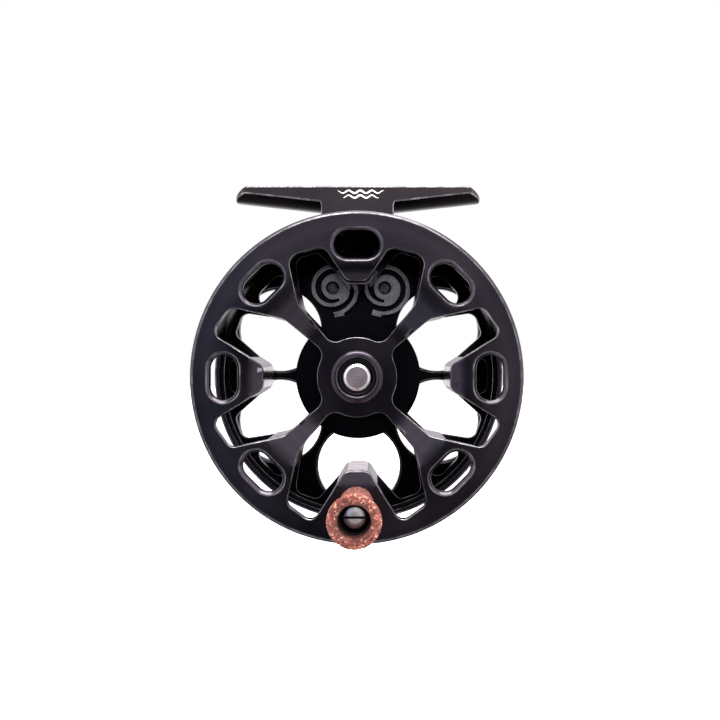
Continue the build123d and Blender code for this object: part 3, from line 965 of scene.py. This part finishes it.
# ------------------------------------------------------------------------------------ machined copies
@dataclass
class MachinedCopy:
    """A CAD node remade as one closed mesh, with its outer edges broken by a small bevel."""

    node: str
    body: Body
    skin: Finish
    slot: Slot
    edge: Optional[Finish] = None
    break_edge: float = 0.16 * MM
    segments: int = 2
    edge_from: float = 32.0
    flatten: bool = True

    def build(self, frame: dict, wardrobe: Wardrobe) -> bpy.types.Object:
        """Copy, merge, dissolve flat areas, bevel and dress.

        Args:
            wardrobe: the finishes.

        Returns:
            The new piece, which stands for the node.
        """
        mesh = frame["nodes"][self.node].data.copy()
        mesh.name = self.node + "_machined"
        work = bmesh.new()
        work.from_mesh(mesh)
        bmesh.ops.remove_doubles(work, verts=work.verts, dist=2e-6)
        if self.flatten:
            bmesh.ops.dissolve_limit(work, angle_limit=math.radians(0.4), verts=work.verts,
                                     edges=work.edges, delimit=set())
        weights = self._weights(work)
        work.to_mesh(mesh)
        work.free()
        for layer in [a.name for a in mesh.attributes if a.name.startswith("custom_normal")]:
            mesh.attributes.remove(mesh.attributes[layer])
        mesh.attributes.new("bevel_weight_edge", "FLOAT", "EDGE").data.foreach_set("value", weights)
        mesh.materials.clear()
        for finish in (self.skin, self.edge or self.skin, *self.extra()):
            mesh.materials.append(wardrobe.get(finish))
        mesh.polygons.foreach_set("material_index", self.face_marks(mesh))
        piece = bpy.data.objects.new(self.node + "_machined", mesh)
        bpy.context.scene.collection.objects.link(piece)
        crease(piece, self.edge_from)
        bevel = piece.modifiers.new("broken_edges", "BEVEL")
        bevel.limit_method = "WEIGHT"
        bevel.width = self.break_edge
        bevel.segments = self.segments
        bevel.use_clamp_overlap = False
        # The bevel faces take the edge finish, whose brighter colour is partly edge wear, partly painted
        # highlight.
        bevel.material = 1
        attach(piece, self.body.value)
        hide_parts(self.node)
        LOG.info("machined %s: %d faces", self.node, len(mesh.polygons))
        return piece

    def _weights(self, work: bmesh.types.BMesh) -> np.ndarray:
        """Bevel weight of each edge: that of its place if it is convex and sharp, else nothing.

        Args:
            work: the merged mesh.

        Returns:
            One weight for each edge.
        """
        limit = math.radians(self.edge_from)
        sharp = np.array([e.calc_face_angle_signed(0.0) > limit for e in work.edges])
        ends = np.array([[v.co[:] for v in e.verts] for e in work.edges])
        return (sharp * self.edge_share(ends.mean(axis=1))).astype(np.float32)

    def edge_share(self, middle: np.ndarray) -> np.ndarray:
        """Share of the full bevel for edges whose middles are given."""
        return np.ones(len(middle))

    def extra(self) -> tuple[Finish, ...]:
        """Finishes beyond the skin and the broken edge."""
        return ()

    def face_marks(self, mesh: bpy.types.Mesh) -> np.ndarray:
        """Number of each face's finish."""
        return np.zeros(len(mesh.polygons), np.int32)


@dataclass
class SmallCopy(MachinedCopy):
    """A screw or other small piece, whose round faces keep all their edges."""

    break_edge: float = 0.06 * MM
    flatten: bool = False


@dataclass
class SpoolCopy(MachinedCopy):
    """The spool, whose post faces and window walls carry a painted reflection and whose crowded rear joints
    keep plain edges.

    Depths are in millimetres behind the front face, and radii in millimetres from the axis.
    """

    front_end: float = 5.1
    flange_front: float = 18.5
    near_posts: tuple[float, float] = (21.0, 27.6)
    wall_radii: tuple[float, float] = (7.0, 37.6)
    wall_depths: tuple[float, float] = (0.2, 5.5)
    post_radii: tuple[float, float] = (22.0, 25.5)
    post_depths: tuple[float, float] = (2.0, 18.6)

    @staticmethod
    def _places(points: np.ndarray) -> tuple[np.ndarray, np.ndarray]:
        """Radius and depth of points, in millimetres."""
        return (np.hypot(points[:, 0], points[:, 2] - REEL.axis_z) / MM, (points[:, 1] - REEL.face_y) / MM)

    def edge_share(self, middle: np.ndarray) -> np.ndarray:
        """Full bevel on the front, half on the rear flange away from the posts, none between.

        Args:
            middle: (n, 3) middles of edges.

        Returns:
            (n,) shares.
        """
        radius, depth = self._places(middle)
        near, far = self.near_posts
        rear = (np.abs(depth - self.flange_front) < 0.05) & ((radius > far) | (radius < near))
        return np.where(depth < self.front_end, 1.0, 0.0) + np.where(rear, 0.5, 0.0)

    def extra(self) -> tuple[Finish, ...]:
        """Painted reflections: the bright faces of the posts and the brighter, smooth walls of the windows.
        """
        return POST_PAINTED_REFLECTION, WALL_PAINTED_REFLECTION

    def face_marks(self, mesh: bpy.types.Mesh) -> np.ndarray:
        """2 on the post faces that look at the axis and 3 on the walls of the windows, which carry painted
        reflections, else 0.

        Args:
            mesh: the merged mesh.

        Returns:
            One number for each face.
        """
        normal, centre = face_array(mesh, "normal"), face_array(mesh, "center")
        radius, depth = self._places(centre)
        turned_in = normal[:, 0] * centre[:, 0] + normal[:, 2] * (centre[:, 2] - REEL.axis_z)
        inward = -turned_in / np.maximum(radius * MM, 1e-9)
        upright = np.abs(normal[:, 1]) < 0.3
        wall = upright & between(depth, self.wall_depths) & between(radius, self.wall_radii)
        post = (inward > 0.88) & between(radius, self.post_radii) & between(depth, self.post_depths)
        # Painted reflection on the post faces and the window walls.
        return np.where(post, 2, np.where(wall, 3, 0)).astype(np.int32)


@dataclass
class SlottedScrew(SmallCopy):
    """The grip's screw, whose slot is painted black as shade."""

    slot_half: float = 0.3 * MM
    slot_depths: tuple[float, float] = (-17.05, -16.0)

    def extra(self) -> tuple[Finish, ...]:
        """The slot's painted shade: black polymer."""
        return (BLACK_POLYMER,)

    def face_marks(self, mesh: bpy.types.Mesh) -> np.ndarray:
        """2 on the faces inside the slot, which take the painted shade, else 0.

        Args:
            mesh: the merged mesh.

        Returns:
            One number for each face.
        """
        centre = face_array(mesh, "center")
        near = np.abs(centre[:, 2] - REEL.axis_z + REEL.crank) < self.slot_half
        sunk = between((centre[:, 1] - REEL.face_y) / MM, self.slot_depths)
        return np.where(near & sunk, 2, 0).astype(np.int32)


@dataclass
class TurnedFitting:
    """A small turned ring that stands for a CAD node."""

    node: str
    body: Body
    finish: Finish
    slot: Slot
    corners: Rows

    def build(self, wardrobe: Wardrobe) -> bpy.types.Object:
        """Turn the ring from its (radius, depth, rounding) corners, in millimetres.

        Args:
            wardrobe: the finishes.

        Returns:
            The piece.
        """
        outline = rounded_profile(self.corners, 5)
        outline[:, 1] += REEL.face_y
        piece = turned_piece(self.node + "_turned", dense(outline, 0.5 * MM), REEL.axis_z, 144)
        crease(piece, 40.0)
        piece.data.materials.append(wardrobe.get(self.finish))
        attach(piece, self.body.value)
        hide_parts(self.node)
        LOG.info("turned %s", self.node)
        return piece


# ------------------------------------------------------------------------------------------ stage
@dataclass
class Studio:
    """Camera, pale floor and soft light."""

    camera_out: float = 180.0
    camera_x: float = 4.713
    camera_z: float = 4.786
    picture_width: float = 175.82
    floor_drop: float = 0.11
    dark_level: float = 0.04
    front_level: float = 1.4
    side_level: float = 2.0
    below_camera: Triple = (-0.0436, -0.9936, -0.1045)

    def camera(self) -> bpy.types.Object:
        """Camera level with the reel, looking straight along +Y.

        Returns:
            The camera object.
        """
        data = bpy.data.cameras.new("camera")
        data.sensor_width = 36.0
        data.lens = 36.0 * self.camera_out / self.picture_width
        data.shift_x = -0.0222
        data.shift_y = -0.0028
        data.clip_start, data.clip_end = 0.005, 20.0
        data.dof.use_dof = False
        camera = bpy.data.objects.new("camera", data)
        camera.location = (self.camera_x * MM, REEL.depth(-self.camera_out), REEL.height(self.camera_z))
        camera.rotation_euler = (math.radians(90), 0.0, 0.0)
        bpy.context.scene.collection.objects.link(camera)
        bpy.context.scene.camera = camera
        return camera

    def floor(self, wardrobe: Wardrobe) -> bpy.types.Object:
        """Wide floor below the reel: a disc grid that lies flat.

        A point at share s and angle a lies at radius 4 s^2 metres.

        Args:
            wardrobe: the finishes.

        Returns:
            The floor.
        """
        share = np.linspace(0.0, 1.0, 24) ** 2 * 4.0 + 1e-4
        angle = np.linspace(0, 2 * np.pi, 64, endpoint=False)
        level = REEL.height(-41.0) - self.floor_drop
        points = np.stack([share[:, None] * np.cos(angle), share[:, None] * np.sin(angle),
                           np.full((len(share), len(angle)), level)], -1).reshape(-1, 3)
        quads = grid_quads(len(share), len(angle), False, True)
        floor = new_object("pale_floor", points, quads)
        floor.data.materials.append(wardrobe.get(PaleFloor("pale_floor")))
        floor.visible_glossy = False
        return floor

    @staticmethod
    def softbox(name: str, place: tuple[float, float, float], aim: tuple[float, float, float],
                size: tuple[float, float], watts: float, tint: Colour = (1.0, 1.0, 1.0)) -> bpy.types.Object:
        """Rectangular area light.

        Args:
            name: light name.
            place: position.
            aim: point it faces.
            size: width and height.
            watts: power.
            tint: colour.

        Returns:
            The light object.
        """
        data = bpy.data.lights.new(name, "AREA")
        data.shape = "RECTANGLE"
        data.size, data.size_y = size
        data.energy = watts
        data.color = tint
        lamp = bpy.data.objects.new(name, data)
        lamp.location = place
        direction = np.array(place) - np.array(aim)
        lamp.rotation_euler = Vector(direction).to_track_quat("Z", "Y").to_euler()
        bpy.context.scene.collection.objects.link(lamp)
        return lamp

    def lights(self) -> None:
        """World and softbox.

        The world is white behind the reel, dim round the camera, and brighter to the sides and above.
        """
        scene = bpy.context.scene
        world = bpy.data.worlds.new("studio")
        scene.world = world
        world.use_nodes = True
        w = Nodes(world.node_tree)
        out = w.add("ShaderNodeOutputWorld")
        seen = w.add("ShaderNodeBackground")
        seen.inputs["Color"].default_value = (1.0, 1.0, 1.0, 1.0)
        lit = w.add("ShaderNodeBackground")
        way = w.add("ShaderNodeTexCoord").outputs["Generated"]
        parts = w.add("ShaderNodeSeparateXYZ")
        w.wire(way, parts.inputs[0])
        facing = w.vector("DOT_PRODUCT", way, self.below_camera).outputs["Value"]
        open_air = w.spread(facing, 0.9835, 0.9400)
        height = w.maths("ADD", w.maths("MULTIPLY", parts.outputs["Z"], 0.6), 1.0)
        height = w.maths("MINIMUM", w.maths("MAXIMUM", height, 0.5), 1.4)
        front = w.maths("MULTIPLY", w.spread(open_air, 0.0, 1.0, self.dark_level, self.front_level), height)
        behind = w.spread(parts.outputs["Y"], -0.05, 0.15)
        below = w.spread(parts.outputs["Z"], -0.42, -0.18, 0.1, 1.0)
        side = w.spread(w.maths("ABSOLUTE", parts.outputs["Y"]), 0.0, 0.45, self.side_level, 0.0)
        level = w.maths("ADD", w.maths("MULTIPLY", front, w.maths("SUBTRACT", 1.0, behind)),
                        w.maths("MULTIPLY", behind, below))
        w.wire(w.maths("ADD", level, side), lit.inputs["Strength"])
        navy = w.maths("MULTIPLY", w.maths("SUBTRACT", 1.0, open_air),
                       w.spread(parts.outputs["X"], 0.0, -0.2))
        w.wire(w.mix(navy, (1.0, 0.94, 1.0), (0.22, 0.75, 1.35)), lit.inputs["Color"])
        path = w.add("ShaderNodeLightPath")
        choose = w.add("ShaderNodeMixShader")
        w.wire(path.outputs["Is Camera Ray"], choose.inputs[0])
        w.wire(lit.outputs[0], choose.inputs[1])
        w.wire(seen.outputs[0], choose.inputs[2])
        w.wire(choose.outputs[0], out.inputs["Surface"])
        aim = (0.0, 0.0, REEL.axis_z)
        self.softbox("top_box", (0.02, -0.10, 0.45), aim, (0.5, 0.35), 9.0, (1.0, 0.98, 0.97))
        scene.view_settings.view_transform = "Standard"
        scene.view_settings.look = "None"


# -------------------------------------------------------------------------------------------- reel
@dataclass
class SpoolAssembly:
    """Spool, click gear and its screws, and the fittings in the spool's hub."""

    cap: Rows = ((3.85, 2.75, 0.05), (4.15, 2.45, 0.12), (4.64, 2.45, 0.08), (4.84, 2.65, 0.1),
                    (4.84, 3.6, 0.05), (3.85, 3.6, 0.05))
    front: Rows = ((3.41, 5.0, 0.15), (4.85, 5.0, 0.15), (4.85, 10.0, 0.15), (3.41, 10.0, 0.15))
    rear: Rows = ((3.41, 14.6, 0.15), (4.85, 14.6, 0.15), (4.85, 20.6, 0.15), (3.41, 20.6, 0.15))

    def build(self, frame: dict, wardrobe: Wardrobe) -> None:
        """Make the spool's machined and turned pieces.

        Args:
            wardrobe: the finishes.
        """
        for copy in (
                SpoolCopy("spool", Body.SPOOL, SPOOL_SKIN, Slot.SPOOL_ALLOY, EDGE, 0.22 * MM, flatten=False),
                SmallCopy("click_gear", Body.SPOOL, GEAR_SKIN, Slot.GEAR_ALLOY, EDGE, 0.08 * MM),
                SmallCopy("gear_screws", Body.SPOOL, DARK_STEEL, Slot.DARK_SCREWS),
                SmallCopy("retaining_clip", Body.SPOOL, DARK_STEEL, Slot.SPRING_STEEL, None, 0.08 * MM)):
            copy.build(frame, wardrobe)
        for fitting in (
                TurnedFitting("hub_cap", Body.SPOOL, CAP_SKIN, Slot.SPOOL_ALLOY, self.cap),
                TurnedFitting("front_bushing", Body.SPOOL, BLACK_POLYMER, Slot.BLACK_POLYMER, self.front),
                TurnedFitting("rear_bushing", Body.SPOOL, BLACK_POLYMER, Slot.BLACK_POLYMER, self.rear)):
            fitting.build(wardrobe)


@dataclass
class FrameAssembly:
    """Half cage, foot and the screws that hold them and the spindle."""

    washer: Rows = ((2.7, 26.2, 0.04), (4.3, 26.2, 0.04), (4.3, 26.4, 0.04), (2.7, 26.4, 0.04))
    ripple_rows: Rows = ((-5.0, 6.8, 0.45), (-3.6, 5.4, -0.75))
    ripple_wave: float = 0.34
    ripple_pitch: float = 2.95
    ripple_wide: float = 0.44
    ripple_proud: float = 0.03

    def build(self, frame: dict, wardrobe: Wardrobe) -> None:
        """Make the frame's machined pieces and the ripples inked on the foot.

        Args:
            wardrobe: the finishes.
        """
        for copy in (
                MachinedCopy("frame_cage", Body.FRAME, CAGE_SKIN, Slot.FRAME_ALLOY, EDGE, 0.18 * MM),
                MachinedCopy("reel_foot", Body.FRAME, FOOT_SKIN, Slot.FRAME_ALLOY, FOOT_EDGE, 0.24 * MM),
                SmallCopy("foot_screws", Body.FRAME, DARK_STEEL, Slot.DARK_SCREWS),
                SmallCopy("spindle_screw", Body.FRAME, DARK_STEEL, Slot.DARK_SCREWS, None, 0.08 * MM)):
            copy.build(frame, wardrobe)
        washer = TurnedFitting("spindle_washer", Body.FRAME, SPINDLE_STEEL, Slot.SPINDLE_STEEL, self.washer)
        washer.build(wardrobe)
        for number, (start, end, height) in enumerate(self.ripple_rows):
            self._ripple(number, start, end, height, wardrobe)

    def _ripple(self, number: int, start: float, end: float, height: float, wardrobe: Wardrobe) -> None:
        """One inked ripple on the foot's front.

        Its middle line is z = height + wave sin(2 pi x / pitch). Its half width is wide / 2 times
        sqrt(sin(pi t)) for the share t of its length, so that both ends close to a point.

        Args:
            number: number of the ripple.
            start: left end in millimetres.
            end: right end in millimetres.
            height: height of the middle line in millimetres.
            wardrobe: the finishes.
        """
        t = np.linspace(0, 1, 140)
        x = start + (end - start) * t
        turn = 2 * np.pi * x / self.ripple_pitch
        slope = self.ripple_wave * 2 * np.pi / self.ripple_pitch * np.cos(turn)
        half = self.ripple_wide / 2 * np.sqrt(np.clip(np.sin(np.pi * t), 0, 1))
        across = np.stack([-slope, np.ones_like(slope)], -1) / np.hypot(1, slope)[:, None]
        side = np.array([-1.0, 1.0, 1.0, -1.0])
        lift = np.array([1.0, 1.0, -1.0, -1.0]) * self.ripple_proud
        flat = np.stack([x, height + self.ripple_wave * np.sin(turn)], -1)
        line = flat[:, None] + across[:, None] * (half[:, None] * side)[..., None]
        shrink = np.clip(half / half.max() * 4, 0, 1)
        depth = -6.5 - lift[None] * shrink[:, None]
        points = np.stack([line[..., 0], depth, line[..., 1]], -1).reshape(-1, 3) * MM
        quads = outward(points, grid_quads(len(t), 4, False, True))
        piece = new_object(f"foot_ripple_{number}", points, quads, False)
        piece.data.materials.append(wardrobe.get(INK))
        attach(piece, Body.FRAME.value)
        LOG.info("foot ripple %d", number)


@dataclass
class Spindle:
    """Bright shaft the spool turns on, with turning rings on its end."""

    face_radius: float = 2.66
    front: float = 2.0
    ring_pitch: float = 0.3
    ring_deep: float = 0.012
    centre_hole: tuple[float, float] = (0.22, 0.25)
    rim_end: float = 2.55
    shoulders: Rows = ((3.35, 2.42, 0.12), (3.35, 3.85, 0.05), (2.9, 3.85, 0.03), (2.9, 4.75, 0.03),
                       (3.35, 4.75, 0.05), (3.35, 22.5, 0.1), (5.6, 22.5, 0.1), (5.6, 23.0, 0.05),
                       (2.95, 23.0, 0.05), (2.95, 25.4, 0.05), (0.0, 25.4, 0.0))

    def build(self, wardrobe: Wardrobe) -> None:
        """Turn the shaft from its face to the back plate.

        The face's depth is front + deep cos(2 pi r / pitch), with a small conical centre hole.

        Args:
            wardrobe: the finishes.
        """
        r = np.linspace(0.0, self.face_radius, 110)
        hole_radius, hole_deep = self.centre_hole
        dimple = hole_deep * np.clip(1 - r / hole_radius, 0, 1)
        rings = self.ring_deep * np.cos(2 * np.pi * r / self.ring_pitch)
        face = np.stack([r, self.front + rings + dimple], -1)
        outline = np.concatenate([face, rounded_profile(self.shoulders) / MM])
        outline[:, 1] = outline[:, 1] * MM + REEL.face_y
        outline[:, 0] *= MM
        piece = turned_piece("spindle_shaft", outline, REEL.axis_z, 128)
        crease(piece, 40.0)
        piece.data.materials.append(wardrobe.get(SPINDLE_STEEL))
        # Painted highlight: the end chamfer's faces take the brighter rim finish.
        piece.data.materials.append(wardrobe.get(SPINDLE_RIM))
        centre = face_array(piece.data, "center")
        radius = np.hypot(centre[:, 0], centre[:, 2] - REEL.axis_z)
        rim = (radius > self.face_radius * MM) & (centre[:, 1] < REEL.depth(self.rim_end))
        piece.data.polygons.foreach_set("material_index", rim.astype(np.int32))
        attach(piece, Body.FRAME.value)
        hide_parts("spindle")
        LOG.info("spindle")


@dataclass
class ClickWork:
    """The two flat spiral springs with their screws and spacers."""

    edge: float = 0.14 * MM

    def build(self, frame: dict, wardrobe: Wardrobe) -> None:
        """Make the click pieces.

        Args:
            wardrobe: the finishes.
        """
        for copy in (
                MachinedCopy("left_click_spring", Body.LEFT_CLICK, SPRING_SKIN, Slot.SPRING_STEEL,
                             SPRING_EDGE, self.edge),
                MachinedCopy("right_click_spring", Body.RIGHT_CLICK, SPRING_SKIN, Slot.SPRING_STEEL,
                             SPRING_EDGE, self.edge),
                SmallCopy("click_screws", Body.FRAME, BUTTON_STEEL, Slot.DARK_SCREWS),
                SmallCopy("click_spacers", Body.FRAME, DARK_STEEL, Slot.SPINDLE_STEEL, None, 0.04 * MM)):
            copy.build(frame, wardrobe)


@dataclass
class CrankHandle:
    """Cork grip on its liner, post, screw and nut."""

    tip: float = -22.0
    base: float = -1.3
    tip_radius: float = 6.13
    base_radius: float = 4.1
    bore: float = 3.7
    liner_tip: float = -17.8
    liner_mouth: float = 3.4
    pit: float = 0.16
    hole: float = 0.22
    flare: float = 2.0
    crumbs: Rows = ((0.33, 1.7, 0.6), (0.17, 8.1, 0.4))
    hole_noise: Triple = (0.55, 4.4, 0.66)
    around: int = 300

    def build(self, frame: dict, wardrobe: Wardrobe) -> None:
        """Make the handle's pieces.

        Args:
            wardrobe: the finishes.
        """
        self._grip(wardrobe)
        self._liner(wardrobe)
        for copy in (
                SmallCopy("handle_post", Body.SPOOL, SCREW_STEEL, Slot.BRIGHT_SCREWS, None, 0.08 * MM),
                SmallCopy("handle_nut", Body.SPOOL, DARK_STEEL, Slot.DARK_SCREWS, None, 0.1 * MM),
                SlottedScrew("handle_screw", Body.SPOOL, SCREW_STEEL, Slot.BRIGHT_SCREWS, None, 0.08 * MM)):
            copy.build(frame, wardrobe)

    def _profile(self) -> np.ndarray:
        """Outline of the grip: radius base + (tip - base) s^flare at the share s of its length, and lips."""
        s = np.linspace(0.04, 0.95, 80)
        outside = np.stack([self.base_radius + (self.tip_radius - self.base_radius) * s ** self.flare,
                            self.base + (self.tip - self.base) * s], -1)
        lip = rounded_profile([(self.tip_radius - 0.02, self.tip, 0.9), (self.bore, self.tip, 0.35),
                               (self.bore, self.base, 0.1), (self.base_radius, self.base, 0.4)], 8) / MM
        outline = np.concatenate([outside, lip]) * MM
        outline[:, 1] += REEL.face_y
        return dense(outline, 0.16 * MM)

    def _grip(self, wardrobe: Wardrobe) -> None:
        """Cork grip with open grain.

        The turned surface moves along its normal by pit times (0.55 - crumb), where crumb sums value noises
        of the given pitch, seed and share. It sinks by hole where a coarser noise of the given pitch and
        seed is over the given level. The bore stays true.

        Args:
            wardrobe: the finishes.
        """
        outline = self._profile()
        along = np.roll(outline, -1, axis=0) - np.roll(outline, 1, axis=0)
        along /= np.linalg.norm(along, axis=1)[:, None]
        angle = np.linspace(0, 2 * np.pi, self.around, endpoint=False)
        ring = np.stack([np.cos(angle), np.zeros_like(angle), np.sin(angle)], -1)
        forward = np.array([0.0, 1.0, 0.0])
        centre = np.array([0.0, 0.0, REEL.axis_z - REEL.crank])
        points = centre + outline[:, 0, None, None] * ring + outline[:, 1, None, None] * forward
        normal = along[:, 0, None, None] * forward - along[:, 1, None, None] * ring
        if normal[int(np.argmax(outline[:, 0])), 0, 0] < 0:
            normal = -normal
        flat = points.reshape(-1, 3)
        quads = outward(flat, grid_quads(len(outline), self.around, True, True))
        outside = np.clip((outline[:, 0] - self.bore * MM) / (0.5 * MM), 0, 1)
        crumb = sum(value_noise(flat, pitch * MM, seed) * share for pitch, seed, share in self.crumbs)
        pitch, seed, level = self.hole_noise
        holes = np.clip((value_noise(flat, pitch * MM, seed) - level) / 0.2, 0, 1)
        push = (self.pit * (0.55 - crumb) - self.hole * holes) * MM
        push = push.reshape(len(outline), self.around) * outside[:, None]
        piece = new_object("cork_grip", (points + normal * push[..., None]).reshape(-1, 3), quads)
        piece.data.materials.append(wardrobe.get(CORK))
        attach(piece, Body.HANDLE.value)
        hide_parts("handle_grip")
        LOG.info("cork grip: %d points", len(flat))

    def _liner(self, wardrobe: Wardrobe) -> None:
        """Black liner: a turned tube with a rounded mouth.

        Args:
            wardrobe: the finishes.
        """
        outline = rounded_profile([(2.06, self.base + 0.1, 0.05), (self.bore - 0.01, self.base + 0.1, 0.1),
                                   (self.bore - 0.01, self.liner_tip, 0.12),
                                   (self.liner_mouth, self.liner_tip, 0.12),
                                   (self.liner_mouth - 0.3, -15.1, 0.2), (2.06, -15.1, 0.1)], 6)
        outline[:, 1] += REEL.face_y
        piece = turned_piece("handle_liner", dense(outline, 0.6 * MM), REEL.axis_z - REEL.crank, 128)
        piece.data.materials.append(wardrobe.get(BLACK_POLYMER))
        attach(piece, Body.HANDLE.value)
        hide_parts("handle_sleeve")
        LOG.info("handle liner")


def main() -> None:
    """Build the reel in order."""
    logging.basicConfig(level=logging.INFO, format="%(name)s: %(message)s")
    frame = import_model()
    wardrobe = Wardrobe(Effect())
    FrameAssembly().build(frame, wardrobe)
    Spindle().build(wardrobe)
    ClickWork().build(frame, wardrobe)
    SpoolAssembly().build(frame, wardrobe)
    CrankHandle().build(frame, wardrobe)
    studio = Studio()
    studio.camera()
    studio.floor(wardrobe)
    studio.lights()


if __name__ == "__main__":
    main()
